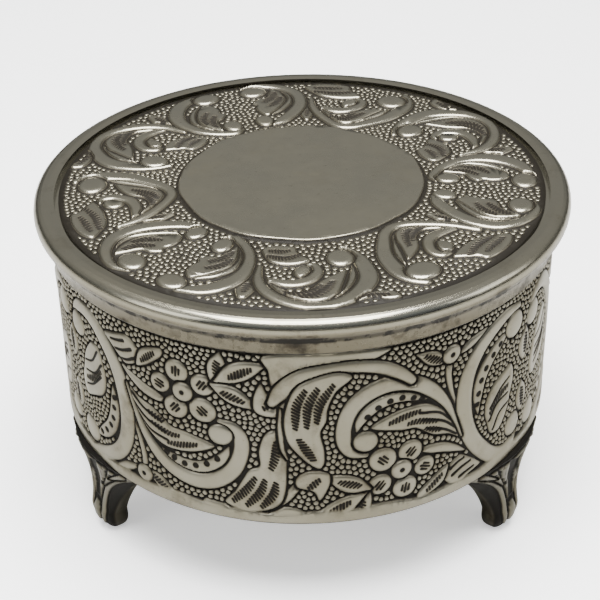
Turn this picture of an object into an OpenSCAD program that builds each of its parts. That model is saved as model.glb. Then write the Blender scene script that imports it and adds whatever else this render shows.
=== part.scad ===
// Round footed trinket box with a hinged lid, chased drum wall and velvet lining.
// The origin is on the drum's axis, in the plane of the feet's soles. +Z is up,
// -Y is the front and the hinge is at the back, at +Y.

/* [Drum] */
// Outside radius of the drum wall
wall_r = 46; // [38:0.5:60]
// Height of the drum wall
wall_h = 35; // [28:0.5:60]
// Thickness of the drum wall
wall_t = 1.2; // [0.9:0.1:2]
// Height of the plain band at the bottom of the wall
plain_band_h = 2.8; // [2:0.1:5]
// Width and depth of the two lines that border the chased field
border_line = 0.3; // [0.2:0.05:0.4]
// Thickness of the base plate
base_t = 1.2; // [0.9:0.1:2.5]

/* [Inner sleeve] */
// Thickness of the sleeve that lines the wall and guides the lid
sleeve_t = 0.8; // [0.6:0.1:1.2]
// Height of the sleeve above the drum wall
upstand_h = 2; // [1.2:0.1:3]
// Radial gap between the sleeve and the lid rim
lid_fit_gap = 0.15; // [0.1:0.01:0.3]
// Radial gap between pieces that are slid into each other and glued
glue_gap = 0.05; // [0.03:0.01:0.1]

/* [Feet] */
// Height of the feet under the drum
foot_h = 19; // [14:0.5:28]
// Half width of a foot where it meets the drum
foot_half_w = 15; // [9:0.5:17]
// Half width of a foot at its neck
foot_neck_w = 4; // [2.4:0.1:5]
// How fast a foot spreads above its neck: 1 is straight, more is a hollow curve
foot_spread = 1.5; // [1:0.1:2.5]
// Thickness of a foot's shell
foot_t = 5.4; // [2.6:0.1:6]
// Height of the toe's widest point
toe_h = 4.5; // [4:0.25:7]
// Distance by which the toe stands out from the wall
toe_out = 0.2; // [0:0.05:1]
// How far the top of a foot stands out beyond the wall
top_out = 1.4; // [0.4:0.1:2]
// Distance by which the neck is drawn in from the wall
neck_in = 1; // [0.2:0.1:1.5]
// Distance by which the sole's front edge is drawn in from the wall
sole_in = 1.3; // [0.6:0.1:2.4]
// Angle of each front foot from the front
foot_angle = 60; // [50:1:70]
// How much nearer the front the right foot sits
foot_skew = 4; // [0:0.5:8]

/* [Foot screws] */
// Radius of the screw thread
screw_r = 1.5; // [1:0.25:2]
// Radius of the screw head
screw_head_r = 2.75; // [2.5:0.25:3.5]
// Height of the screw head
screw_head_h = 1.1; // [0.8:0.1:1.4]
// Thickness of the lug that takes the screw
lug_t = 3; // [2:0.25:5]
// Distance of the screw from the inside of the drum wall
screw_inset = 7.3; // [6:0.1:10]

/* [Linings] */
// Thickness of the velvet wall lining
lining_t = 0.9; // [0.6:0.1:1.4]
// Distance of the lining's top edge below the sleeve's top
lining_drop = 1.2; // [0.6:0.1:3]
// Thickness of the boards under the pads
board_t = 1.2; // [1:0.1:2]
// Thickness of the floor pad
floor_pad_t = 2.8; // [2:0.1:6]
// Thickness of the lid pad
lid_pad_t = 3; // [2:0.1:3.4]
// Gap round the boards and pads
pad_gap = 0.3; // [0.2:0.05:0.6]

/* [Lid] */
// Height of the lid above the drum wall
lid_h = 7.4; // [7.2:0.1:12]
// Distance by which the rim's bead stands out from the wall
rim_over = 2.45; // [2.3:0.05:4]
// Gap between the closed lid and the drum wall
seam_gap = 0.15; // [0.1:0.01:0.3]
// Thickness of the embossed lid plate
plate_t = 1.2; // [0.8:0.1:1.8]
// Radius of the plain medallion
medallion_r = 22.3; // [14:0.1:30]
// Width of the line round the medallion
medallion_line = 0.35; // [0.2:0.05:0.5]
// Width of the groove between the plate and the rim
groove_w = 0.8; // [0.5:0.1:1.2]
// Width of the rim's shoulder, from the groove to the wall's outer face
shoulder_w = 1.3; // [1.1:0.1:3]
// Width of the ledge under the plate
ledge_w = 1.8; // [1.2:0.1:3]
// Thickness of the ledge under the plate
ledge_t = 1; // [0.8:0.1:1.6]

/* [Hinge] */
// Outside radius of the hinge knuckles
barrel_r = 1.2; // [1.1:0.05:1.4]
// Radius of the hinge pin
pin_r = 0.6; // [0.5:0.05:0.65]
// Radial gap between the pin and the lid's knuckles
pin_gap = 0.05; // [0.02:0.01:0.1]
// Length of one knuckle
knuckle_w = 3.3; // [2.8:0.1:4]
// Gap between neighbouring knuckles
knuckle_gap = 0.2; // [0.15:0.05:0.3]
// Thickness of the hinge leaves
leaf_t = 0.75; // [0.6:0.05:0.8]
// Height of the leaf on the drum wall
body_leaf_h = 9; // [7:0.5:14]
// Height of the leaf on the lid
lid_leaf_h = 4.3; // [4:0.1:4.6]
// Radius of the rivets
rivet_r = 0.6; // [0.5:0.05:0.8]
// Height of the rivet heads
rivet_head_h = 0.4; // [0.3:0.05:0.5]

/* [Hidden] */
$fn = 96;

knuckles = 5;
run_gap = 0.15;                 // what swings past a knuckle clears it by this
seat_gap = 0.05;                // the barrel stands this far off the wall
drum_in_r = wall_r - wall_t;
base_top = foot_h + base_t;
seam_z = foot_h + wall_h;
sleeve_r = drum_in_r - glue_gap;
sleeve_in_r = sleeve_r - sleeve_t;
sleeve_top = seam_z + upstand_h;
lining_r = sleeve_in_r - glue_gap;
lining_in_r = lining_r - lining_t;
pad_r = lining_in_r - pad_gap;
board_top = base_top + board_t;
screw_ring_r = drum_in_r - screw_inset;
screw_hole_r = screw_r + 0.1;
screw_pocket_r = screw_head_r + 0.3;

lid_top = seam_z + lid_h;
plate_bottom = lid_top - plate_t;
rim_in_r = sleeve_r + lid_fit_gap;
groove_r = wall_r - shoulder_w;
plate_r = groove_r - groove_w;
ledge_r = plate_r - ledge_w;
lid_board_r = ledge_r - pad_gap;
lid_pad_r = min(lid_board_r, sleeve_in_r - 3 * pad_gap) - pad_gap;

cove_r = wall_r + 0.6;          // the cove starts this far out, above the lip
cove_z = 1;
bead_a = 1.45;                  // the bead's half width and half height
bead_b = 1.85;
bead_z = lid_h - 2;
bead_low = -25;                 // the bead runs between these two angles
bead_high = 75;

hinge_y = wall_r + seat_gap + barrel_r;
barrel_w = knuckles * knuckle_w + (knuckles - 1) * knuckle_gap;
leaf_y = wall_r + 0.6;          // front face of the lid's leaf
rivet_x = barrel_w / 2 - knuckle_w;
body_rivet_z = seam_z - body_leaf_h * 0.65;
lid_rivet_z = seam_z + barrel_r + run_gap + 1.5;
rivet_end_r = drum_in_r + 0.3;  // the rivets end inside the metal
rivet_head_r = 1.8 * rivet_r;

// ring between two radii and two heights
module ring(r_out, r_in, z0, z1) {
    translate([0, 0, z0])
        difference() {
            cylinder(r = r_out, h = z1 - z0);
            translate([0, 0, -1])
                cylinder(r = r_in, h = z1 - z0 + 2);
        }
}

// disc with its upper and lower edges rounded, for a pad
module pad(r, z0, z1) {
    round_r = (z1 - z0) * 0.4;
    rotate_extrude()
        union() {
            translate([0, z0])
                square([r - round_r, z1 - z0]);
            translate([0, z0 + round_r])
                square([r, z1 - z0 - 2 * round_r]);
            for (z = [z0 + round_r, z1 - round_r])
                translate([r - round_r, z])
                    circle(r = round_r, $fn = 32);
        }
}

module body_wall() {
    color([0.59, 0.58, 0.52])
        difference() {
            ring(wall_r, drum_in_r, foot_h, seam_z);
            rivet_holes(body_rivet_z);
            for (z = [foot_h + plain_band_h, seam_z - 3 * border_line])
                ring(wall_r + 1, wall_r - border_line, z, z + border_line);
        }
}

module base_plate() {
    color([0.5, 0.49, 0.45])
        difference() {
            translate([0, 0, foot_h])
                cylinder(r = drum_in_r - glue_gap, h = base_t);
            at_each_screw(foot_h)
                translate([0, 0, -1])
                    cylinder(r = screw_hole_r, h = base_t + 2, $fn = 32);
        }
}

module inner_sleeve() {
    color([0.62, 0.61, 0.57])
        ring(sleeve_r, sleeve_in_r, base_top, sleeve_top);
}

function foot_turn(i) = [-foot_angle, foot_angle - foot_skew, 180][i];

module at_each_screw(z) {
    for (i = [0:2])
        rotate([0, 0, foot_turn(i)])
            translate([0, -screw_ring_r, z])
                children();
}

// half width of a foot at a height: wide under the drum, narrow at the neck
function foot_w(z) =
    z > toe_h
        ? foot_neck_w + (foot_half_w - foot_neck_w) * pow((z - toe_h) / (foot_h - toe_h), foot_spread)
        : foot_neck_w * (0.72 + 0.28 * sin(90 * z / toe_h));

// radius of a foot's outer face at a height: it flares out under the drum, above the neck
function foot_face_r(z) =
    let (rise = (z - toe_h) / (foot_h - toe_h))
    z > toe_h
        ? wall_r + toe_out + (top_out - toe_out) * rise * rise - neck_in * sin(180 * rise)
        : wall_r - sole_in + (toe_out + sole_in) * sin(90 * z / toe_h);

module foot(i) {
    steps = 18;
    heights = [for (k = [0:steps]) foot_h * k / steps];
    face = [for (z = heights) [foot_face_r(z), z]];
    back = [for (k = [steps:-1:0]) [face[k][0] - foot_t, heights[k]]];
    right = [for (z = heights) [foot_w(z), z]];
    left = [for (k = [steps:-1:0]) [-right[k][0], heights[k]]];
    color([0.28, 0.28, 0.25])
        rotate([0, 0, foot_turn(i)])
            difference() {
                union() {
                    intersection() {
                        rotate_extrude()
                            polygon(concat(face, back));
                        rotate([90, 0, 0])
                            linear_extrude(height = wall_r + 5)
                                polygon(concat(right, left));
                    }
                    foot_lug();
                }
                translate([0, -screw_ring_r, foot_h - lug_t - 1])
                    cylinder(r = screw_r, h = lug_t + 2, $fn = 32);
            }
}

// flat tongue that runs in under the base plate and takes the screw
module foot_lug() {
    lug_w = 2 * (screw_head_r + 1);
    translate([0, 0, foot_h - lug_t]) {
        translate([-lug_w / 2, -(wall_r - foot_t / 2), 0])
            cube([lug_w, wall_r - foot_t / 2 - screw_ring_r, lug_t]);
        translate([0, -screw_ring_r, 0])
            cylinder(r = lug_w / 2, h = lug_t);
    }
}

module foot_screws() {
    color([0.7, 0.68, 0.6])
        at_each_screw(base_top) {
            translate([0, 0, -base_t - lug_t])
                cylinder(r = screw_r, h = base_t + lug_t, $fn = 32);
            difference() {
                cylinder(r = screw_head_r, h = screw_head_h, $fn = 48);
                translate([-screw_head_r - 1, -0.35, screw_head_h * 0.5])
                    cube([2 * screw_head_r + 2, 0.7, screw_head_h]);
            }
        }
}

module floor_board() {
    color([0.55, 0.5, 0.42])
        difference() {
            translate([0, 0, base_top])
                cylinder(r = pad_r, h = board_t);
            at_each_screw(base_top)
                translate([0, 0, -1])
                    cylinder(r = screw_pocket_r, h = board_t + 2, $fn = 48);
        }
}

module floor_pad() {
    color([0.33, 0.05, 0.1])
        pad(pad_r - pad_gap, board_top, board_top + floor_pad_t);
}

module wall_lining() {
    color([0.38, 0.06, 0.12])
        ring(lining_r, lining_in_r, base_top, sleeve_top - lining_drop);
}

// knuckles at the given places along the barrel
module knuckle_row(places, bore_r) {
    for (k = places)
        translate([(k + 0.5 - knuckles / 2) * (knuckle_w + knuckle_gap), hinge_y, seam_z])
            rotate([0, 90, 0])
                difference() {
                    cylinder(r = barrel_r, h = knuckle_w, center = true, $fn = 48);
                    cylinder(r = bore_r, h = knuckle_w + 1, center = true, $fn = 32);
                }
}

module pin_hole(bore_r) {
    translate([0, hinge_y, seam_z])
        rotate([0, 90, 0])
            cylinder(r = bore_r, h = 2 * barrel_w, center = true, $fn = 32);
}

// the part of a knuckle's width that a leaf's tab takes
module tab(k, y, z, size_y, size_z) {
    translate([(k - knuckles / 2) * (knuckle_w + knuckle_gap) + knuckle_gap / 2, y, z])
        cube([knuckle_w, size_y, size_z]);
}

module hinge_body_leaf() {
    leaf_top = seam_z - barrel_r - run_gap;
    color([0.52, 0.51, 0.46])
        difference() {
            union() {
                knuckle_row([0, 2, 4], pin_r);
                intersection() {
                    ring(wall_r + leaf_t, wall_r, seam_z - body_leaf_h, leaf_top);
                    translate([-barrel_w / 2, 0, foot_h])
                        cube([barrel_w, 2 * wall_r, wall_h]);
                }
                intersection() {
                    ring(wall_r + leaf_t, wall_r, leaf_top - 1, seam_z);
                    for (k = [0, 2, 4])
                        tab(k, 0, foot_h, 2 * wall_r, wall_h);
                }
            }
            pin_hole(pin_r);
            rivet_holes(body_rivet_z);
        }
}

module hinge_lid_leaf() {
    leaf_low = seam_z + barrel_r + run_gap;
    color([0.52, 0.51, 0.46])
        difference() {
            union() {
                knuckle_row([1, 3], pin_r + pin_gap);
                translate([-barrel_w / 2, leaf_y, leaf_low])
                    cube([barrel_w, leaf_t, seam_z + lid_leaf_h - leaf_low]);
                for (k = [1, 3])
                    tab(k, leaf_y, seam_z, leaf_t, lid_leaf_h);
            }
            pin_hole(pin_r + pin_gap);
            rivet_holes(lid_rivet_z);
        }
}

module hinge_pin() {
    color([0.66, 0.65, 0.6])
        translate([0, hinge_y, seam_z])
            rotate([0, 90, 0]) {
                cylinder(r = pin_r, h = barrel_w, center = true, $fn = 32);
                for (side = [-1, 1])
                    translate([0, 0, side * (barrel_w / 2 + 0.2)])
                        cylinder(r = 1.4 * pin_r, h = 0.4, center = true, $fn = 32);
            }
}

// a hinge's two rivet places, looking out along +Y from inside the metal
module at_each_rivet(z) {
    for (side = [-1, 1])
        translate([side * rivet_x, rivet_end_r, z])
            rotate([-90, 0, 0])
                children();
}

module rivet_pair(z, head_y) {
    at_each_rivet(z) {
        cylinder(r = rivet_r, h = head_y - rivet_end_r, $fn = 24);
        translate([0, 0, head_y - rivet_end_r])
            cylinder(r = rivet_head_r, h = rivet_head_h, $fn = 32);
    }
}

module rivet_holes(z) {
    at_each_rivet(z)
        cylinder(r = rivet_r, h = wall_r, $fn = 24);
}

// the heads rest on the curved leaf where it stands highest under them
function body_rivet_y() = sqrt(pow(wall_r + leaf_t, 2) - pow(rivet_x - rivet_head_r, 2));

module hinge_body_rivets() {
    color([0.66, 0.65, 0.6])
        rivet_pair(body_rivet_z, body_rivet_y());
}

module hinge_lid_rivets() {
    color([0.66, 0.65, 0.6])
        rivet_pair(lid_rivet_z, leaf_y + leaf_t);
}

module lid_plate() {
    color([0.5, 0.49, 0.44])
        difference() {
            translate([0, 0, plate_bottom])
                cylinder(r = plate_r, h = plate_t);
            ring(medallion_r + medallion_line, medallion_r, lid_top - medallion_line, lid_top + 1);
        }
}

function arc(cx, cz, a, b, from, to, n = 14) =
    [for (k = [0:n]) let (t = from + (to - from) * k / n) [cx + a * cos(t), cz + b * sin(t)]];

module lid_rim() {
    bead_r = wall_r + rim_over - bead_a;
    cove_out = bead_r + bead_a * cos(bead_low);
    cove_top = bead_z + bead_b * sin(bead_low);
    outline = concat(
        [[rim_in_r, seam_gap], [wall_r + 0.3, seam_gap], [cove_r, cove_z * 0.6]],
        arc(cove_out, cove_z, cove_out - cove_r, cove_top - cove_z, 180, 90),
        arc(bead_r, bead_z, bead_a, bead_b, bead_low, bead_high),
        [[wall_r + 1, lid_h - 0.08], [wall_r, lid_h], [groove_r, lid_h - 0.12],
         [groove_r, lid_h - plate_t], [ledge_r, lid_h - plate_t],
         [ledge_r, lid_h - plate_t - ledge_t], [rim_in_r, lid_h - plate_t - ledge_t]]);
    color([0.72, 0.71, 0.66])
        difference() {
            translate([0, 0, seam_z])
                rotate_extrude()
                    polygon(outline);
            hinge_pockets();
            rivet_holes(lid_rivet_z);
        }
}

// room in the rim for the barrel and for the lid's leaf
module hinge_pockets() {
    half_w = barrel_w / 2 + 0.6;
    translate([-half_w, hinge_y - barrel_r - run_gap, foot_h])
        cube([2 * half_w, wall_r, wall_h + barrel_r + run_gap]);
    translate([-barrel_w / 2 - 0.1, leaf_y, seam_z])
        cube([barrel_w + 0.2, wall_r, lid_leaf_h + 0.1]);
}

module lid_board() {
    color([0.55, 0.5, 0.42])
        translate([0, 0, plate_bottom - board_t])
            cylinder(r = lid_board_r, h = board_t);
}

module lid_pad() {
    color([0.33, 0.05, 0.1])
        pad(lid_pad_r, plate_bottom - board_t - lid_pad_t, plate_bottom - board_t);
}

body_wall();
base_plate();
inner_sleeve();
foot(0);  // foot_front_left
foot(1);  // foot_front_right
foot(2);  // foot_back
foot_screws();
floor_board();
floor_pad();
wall_lining();
hinge_body_leaf();
hinge_body_rivets();
hinge_pin();
lid_plate();
lid_rim();
lid_board();
lid_pad();
hinge_lid_leaf();
hinge_lid_rivets();
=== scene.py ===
import math
import bpy
import numpy as np
from mathutils import Matrix, Vector


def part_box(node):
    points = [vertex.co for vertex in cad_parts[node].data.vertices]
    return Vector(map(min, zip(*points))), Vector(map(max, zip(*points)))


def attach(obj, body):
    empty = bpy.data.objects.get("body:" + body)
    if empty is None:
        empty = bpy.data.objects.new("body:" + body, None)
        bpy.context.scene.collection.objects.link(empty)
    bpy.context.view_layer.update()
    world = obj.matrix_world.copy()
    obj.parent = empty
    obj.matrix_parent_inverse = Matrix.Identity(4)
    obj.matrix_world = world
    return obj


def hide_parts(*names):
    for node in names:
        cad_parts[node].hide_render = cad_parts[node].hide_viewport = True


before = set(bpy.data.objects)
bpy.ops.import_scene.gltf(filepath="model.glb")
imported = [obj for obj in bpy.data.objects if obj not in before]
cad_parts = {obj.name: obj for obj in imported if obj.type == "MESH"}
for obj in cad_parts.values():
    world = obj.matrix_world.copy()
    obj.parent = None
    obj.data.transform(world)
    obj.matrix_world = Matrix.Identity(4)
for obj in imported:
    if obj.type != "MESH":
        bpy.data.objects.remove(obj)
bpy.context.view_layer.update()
bpy.ops.object.select_all(action="DESELECT")

mm = 0.001
mergeReach = 0.000004  # points closer than this are one
rng = np.random.default_rng(7)


def span(node):
    low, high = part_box(node)
    return low / mm, high / mm


# sizes in millimetres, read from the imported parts
drumLow, drumHigh = span("body_wall")
drumR = (drumHigh.x - drumLow.x) / 2
drumFoot, seamZ = drumLow.z, drumHigh.z
plateLow, plateHigh = span("lid_plate")
plateR, lidTop = (plateHigh.x - plateLow.x) / 2, plateHigh.z
sleeveR = span("inner_sleeve")[1].x
print("sizes", round(drumR, 2), round(drumFoot, 2), round(seamZ, 2), round(plateR, 2), round(lidTop, 2))

cameraValues = {
    "lens": 88.6,
    "distance": 281.9,
    "elevation": 32.15,
    "roll": -1.21,
    "aim": (-0.76, 0.0, 16.3),        # from the middle of the drum's lower edge
}


def placeCamera(v):
    camera = bpy.data.objects.new("camera", bpy.data.cameras.new("camera"))
    bpy.context.scene.collection.objects.link(camera)
    tilt, roll = math.radians(v["elevation"]), math.radians(v["roll"])
    back = Vector((0, -math.cos(tilt), math.sin(tilt)))
    up = Vector((0, math.sin(tilt), math.cos(tilt)))
    side = Vector((1, 0, 0))
    right = side * math.cos(roll) + up * math.sin(roll)
    top = up * math.cos(roll) - side * math.sin(roll)
    place = Vector(v["aim"]) + Vector((0, 0, drumFoot)) + back * v["distance"]
    turn = Matrix((right, top, back)).transposed().to_4x4()
    camera.matrix_world = Matrix.Translation(place * mm) @ turn
    camera.data.lens = v["lens"]
    camera.data.sensor_width = 36
    camera.data.clip_start = 0.01
    bpy.context.scene.camera = camera


placeCamera(cameraValues)
print("camera placed")


class Socket:  # a socket that can stand in a sum
    def __init__(self, paint, socket):
        self.paint, self.socket = paint, socket

    def __add__(self, other):
        return self.paint.math("ADD", self, other)

    def __radd__(self, other):
        return self.paint.math("ADD", other, self)

    def __sub__(self, other):
        return self.paint.math("SUBTRACT", self, other)

    def __rsub__(self, other):
        return self.paint.math("SUBTRACT", other, self)

    def __mul__(self, other):
        return self.paint.math("MULTIPLY", self, other)

    def __rmul__(self, other):
        return self.paint.math("MULTIPLY", other, self)


class Paint:  # a material and its shader
    def __init__(self, name, **values):
        self.material = bpy.data.materials.new(name)
        self.material.use_nodes = True
        self.tree = self.material.node_tree
        self.shader = self.tree.nodes["Principled BSDF"]
        for key, value in values.items():
            words = key[0].upper() + "".join(" " + c if c.isupper() else c for c in key[1:])
            self.shader.inputs[words].default_value = value
        self.place = self.node("ShaderNodeTexCoord", out="Object")

    def fill(self, target, value):
        if isinstance(value, Socket):
            self.tree.links.new(value.socket, target)
        else:
            target.default_value = value

    def node(self, kind, settings=None, inputs=None, out=0):
        made = self.tree.nodes.new(kind)
        for key, value in (settings or {}).items():
            if key == "stops":
                for n, (at, colour) in enumerate(value):
                    stop = made.color_ramp.elements[n] if n < 2 else made.color_ramp.elements.new(at)
                    stop.position, stop.color = at, colour
            else:
                setattr(made, key, value)
        for key, value in (inputs or {}).items():
            self.fill(made.inputs[key], value)
        return Socket(self, made.outputs[out])

    def math(self, operation, a, b=0.0, clamp=False):
        return self.node("ShaderNodeMath", {"operation": operation, "use_clamp": clamp}, {0: a, 1: b})

    def clamp(self, value):
        return self.math("ADD", value, 0.0, True)

    def noise(self, scale, detail=3.0, rough=0.55, place=None):
        return self.node("ShaderNodeTexNoise", None, {
            "Vector": place or self.place, "Scale": scale, "Detail": detail, "Roughness": rough})

    def stretch(self, scale):
        return self.node("ShaderNodeMapping", None, {"Vector": self.place, "Scale": scale})

    def mix(self, factor, a, b):
        return self.node("ShaderNodeMix", {"data_type": "RGBA"}, {0: factor, 6: a, 7: b}, out=2)

    def step(self, value, low, high):
        return self.node("ShaderNodeMapRange", {"interpolation_type": "SMOOTHSTEP"},
                         {"Value": value, "From Min": low, "From Max": high})

    def attribute(self, name):
        return self.node("ShaderNodeAttribute", {"attribute_name": name}, None, out="Fac")

    def bump(self, height, strength, distance):
        return self.node("ShaderNodeBump", None,
                         {"Height": height, "Strength": strength, "Distance": distance})

    def set(self, socket, value):
        self.fill(self.shader.inputs[socket], value)


silverValues = {
    "bright": (0.30, 0.285, 0.225, 1),
    "warm": (0.25, 0.232, 0.172, 1),
    "brown": (0.085, 0.070, 0.045, 1),
    "patinaAndShade": (0.010, 0.0085, 0.006, 1),
}


def paintSilver(name, rough, darkening=None, tarnish=0.5, scratches=0.25, dull=0.0, tone=1.0):
    paint = Paint(name, metallic=1.0)
    paint.set("Specular IOR Level", 0.12)
    v = {part: tuple(share * tone for share in colour[:3]) + (1,)
         for part, colour in silverValues.items()}
    cloud = paint.step(paint.noise(55, 4, 0.6), 0.35, 0.68)
    blotch = paint.step(paint.noise(140, 5, 0.65), 0.52, 0.74)
    specks = paint.step(paint.noise(900, 3, 0.7), 0.62, 0.74)
    fine = paint.noise(2600, 2, 0.6)
    metal = paint.mix(paint.clamp(cloud * tarnish + blotch * 0.3), v["bright"], v["warm"])
    rub = paint.noise(400, 3, 0.6, paint.stretch((1, 1, 0.12)))
    # the dark mask: tarnished lines and dirt, and painted shade on the rim under the bead and on the feet's
    # sides and back
    grimeAndShade = darkening(paint, blotch) if darkening else 0.0
    stainAndShade = paint.clamp(paint.step(grimeAndShade, 0.0, 0.55) * 0.75 + specks * 0.3 + blotch * dull)
    black = paint.step(grimeAndShade, 0.3, 0.72)
    paint.set("Base Color", paint.mix(black, paint.mix(stainAndShade, metal, v["brown"]), v["patinaAndShade"]))
    worn = rough + cloud * 0.06 + blotch * 0.05 + rub * 0.06 - 0.03
    paint.set("Roughness", paint.clamp(worn + black * 0.3))
    paint.set("Metallic", 1 - black * 0.85)
    paint.set("Normal", paint.bump(rub * 0.6 + fine * 0.4, scratches, 0.00006))
    return paint.material


def drawnGrimeAndShade(paint, blotch):  # where the maker's tools left dark lines, and painted shade on the feet's sides and back, from the stored attribute
    return paint.attribute("patinaAndShade")


def rimGrimeAndShade(paint, blotch):  # creases on both sides of the bead, and the lip's edge, plus painted shade over the rim under the bead
    height = paint.node("ShaderNodeSeparateXYZ", None, {"Vector": paint.place}, out="Z") * 1000.0
    under = 1 - paint.step(paint.math("ABSOLUTE", height - (seamZ + 3.2)), 0.15, 0.75)
    lip = 1 - paint.step(height, seamZ + 0.1, seamZ + 0.6)
    # painted shade: the rim is darkened evenly from the bead's middle down, with a little mottling
    below = 1 - paint.step(height, seamZ + 4.9, seamZ + 6.0)
    fleck = paint.step(paint.noise(420, 4, 0.7), 0.5, 0.62)
    return paint.clamp(under * (0.14 + blotch * 0.4 + fleck * 0.5) + lip * (0.2 + fleck * 0.4)
                       + below * (0.42 + blotch * 0.15 + fleck * 0.05))


def coat(piece, material):
    piece.data.materials.clear()
    piece.data.materials.append(material)


chasedSilver = paintSilver("chasedSilver", 0.36, drawnGrimeAndShade, tarnish=0.9, dull=0.45, tone=0.72)
lidSilver = paintSilver("lidSilver", 0.24, drawnGrimeAndShade, tarnish=0.5, dull=0.15, tone=0.92)
rimSilver = paintSilver("rimSilver", 0.19, rimGrimeAndShade, tarnish=0.5, scratches=0.1, dull=0.25, tone=0.9)
footSilver = paintSilver("footSilver", 0.38, drawnGrimeAndShade, tarnish=1.0, dull=0.8, tone=0.45)
plainSilver = paintSilver("plainSilver", 0.3, tarnish=0.7, dull=0.2)


def paintVelvet(name, deep, light):
    paint = Paint(name, roughness=0.9, sheenWeight=0.12, sheenRoughness=0.4, sheenTint=light)
    nap = paint.noise(3200, 2, 0.7)
    crush = paint.step(paint.noise(90, 4, 0.6), 0.4, 0.66)
    paint.set("Base Color", paint.mix(paint.clamp(crush * 0.3 + nap * 0.4), deep, light))
    paint.set("Roughness", 0.82 + nap * 0.15)
    paint.set("Normal", paint.bump(nap * 0.7 + crush * 0.5, 0.5, 0.00015))
    return paint.material


def paintCard(name):
    paint = Paint(name, roughness=0.85)
    fibre = paint.noise(1800, 4, 0.7, paint.stretch((1, 0.3, 1)))
    cloud = paint.noise(70, 4, 0.6)
    tone = paint.clamp(fibre * 0.5 + cloud * 0.4)
    paint.set("Base Color", paint.mix(tone, (0.24, 0.19, 0.13, 1), (0.38, 0.31, 0.22, 1)))
    paint.set("Normal", paint.bump(fibre, 0.35, 0.0001))
    return paint.material


def paintBrass(name):
    paint = Paint(name, metallic=1.0)
    cloud = paint.noise(300, 4, 0.6)
    paint.set("Base Color", paint.mix(cloud, (0.42, 0.34, 0.17, 1), (0.25, 0.19, 0.09, 1)))
    paint.set("Roughness", 0.28 + cloud * 0.25)
    return paint.material


velvet = paintVelvet("velvet", (0.040, 0.003, 0.007, 1), (0.11, 0.008, 0.017, 1))
card = paintCard("card")
brass = paintBrass("screwBrass")
print("materials made")


def smoothPath(points, closed=False, steps=7):  # a smooth line through rows of numbers
    p = np.array(points, float)
    if len(p) < 3:
        t = np.linspace(0, 1, steps + 1)[:, None]
        return p[0] * (1 - t) + p[1] * t
    if closed:
        p = np.vstack([p[-1], p, p[0], p[1]])
    else:
        p = np.vstack([2 * p[0] - p[1], p, 2 * p[-1] - p[-2]])
    t = np.linspace(0, 1, steps, endpoint=False)[:, None]
    rows = []
    for a, b, c, d in zip(p[:-3], p[1:-2], p[2:-1], p[3:]):
        rows.append(0.5 * (2 * b + (c - a) * t + (2 * a - 5 * b + 4 * c - d) * t ** 2
                           + (3 * b - a - 3 * c + d) * t ** 3))
    path = np.vstack(rows)
    return path if closed else np.vstack([path, p[-2]])


def stretchDistance(x, y, path):  # to a band whose widths are the third column
    best = np.full(x.shape, 1e9)
    for (ax, ay, aw), (bx, by, bw) in zip(path[:-1], path[1:]):
        dx, dy = bx - ax, by - ay
        t = np.clip(((x - ax) * dx + (y - ay) * dy) / max(dx * dx + dy * dy, 1e-9), 0, 1)
        d = np.hypot(x - ax - t * dx, y - ay - t * dy) - (aw + (bw - aw) * t) / 2
        np.minimum(best, d, out=best)
    return best


def outlineDistance(x, y, path):  # to a closed outline, negative inside
    best = np.full(x.shape, 1e9)
    inside = np.zeros(x.shape, bool)
    for (ax, ay), (bx, by) in zip(path, np.roll(path, -1, axis=0)):
        dx, dy = bx - ax, by - ay
        t = np.clip(((x - ax) * dx + (y - ay) * dy) / max(dx * dx + dy * dy, 1e-9), 0, 1)
        np.minimum(best, np.hypot(x - ax - t * dx, y - ay - t * dy), out=best)
        if ay != by:
            inside ^= ((ay > y) != (by > y)) & (x < (bx - ax) * (y - ay) / (by - ay) + ax)
    return np.where(inside, -best, best)


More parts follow.
